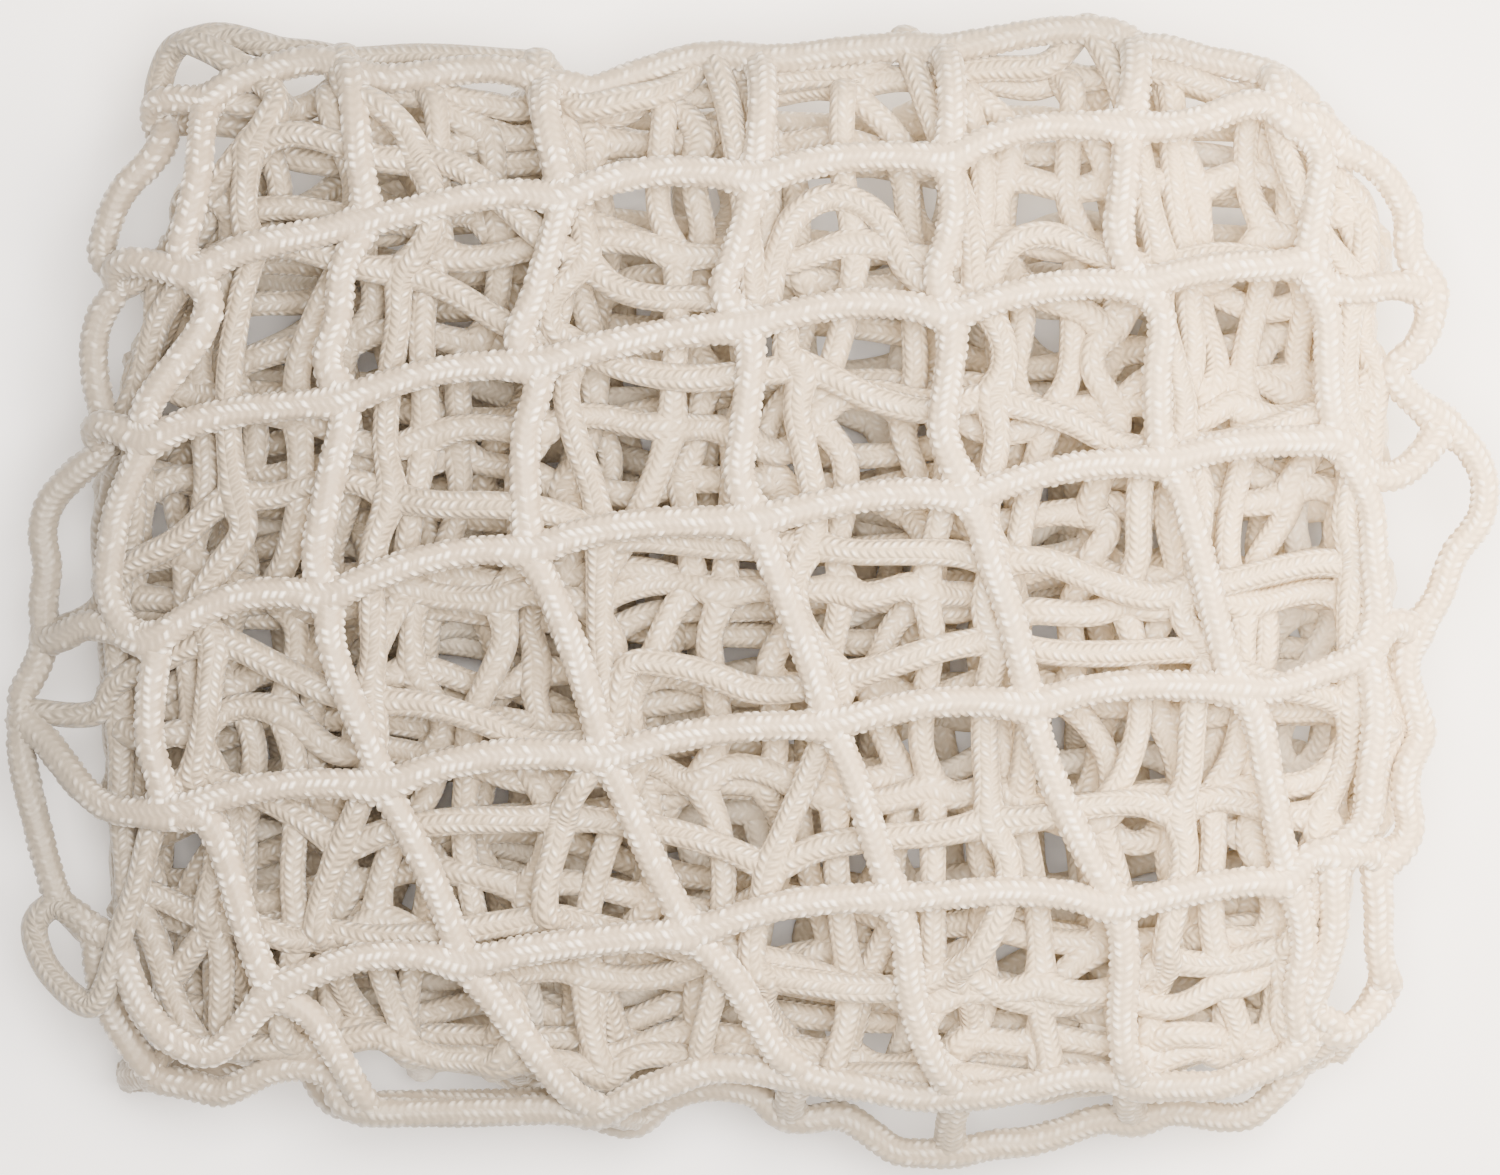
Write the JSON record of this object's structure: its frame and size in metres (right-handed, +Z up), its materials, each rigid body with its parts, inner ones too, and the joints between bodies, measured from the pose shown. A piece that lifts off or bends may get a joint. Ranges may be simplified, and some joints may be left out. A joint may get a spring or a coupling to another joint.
{
  "type": "safety net",
  "caption": "Folded safety net: knotless square-mesh netting of braided ivory cord, folded back and forth into a pillow-shaped pack that lies on its back.",
  "frame": {"origin": "middle of the base, on the surface that the pack lies on", "axes": "+X along the folds, +Y from the low folded edge to the high one, +Z up out of the face of the pack"},
  "size_m": [0.2774, 0.2156, 0.072],
  "materials": {
    "braided_cord": "matt braided synthetic cord, off-white"
  },
  "bodies": {
    "root": {"netting": "braided_cord"}
  },
  "joints": []
}
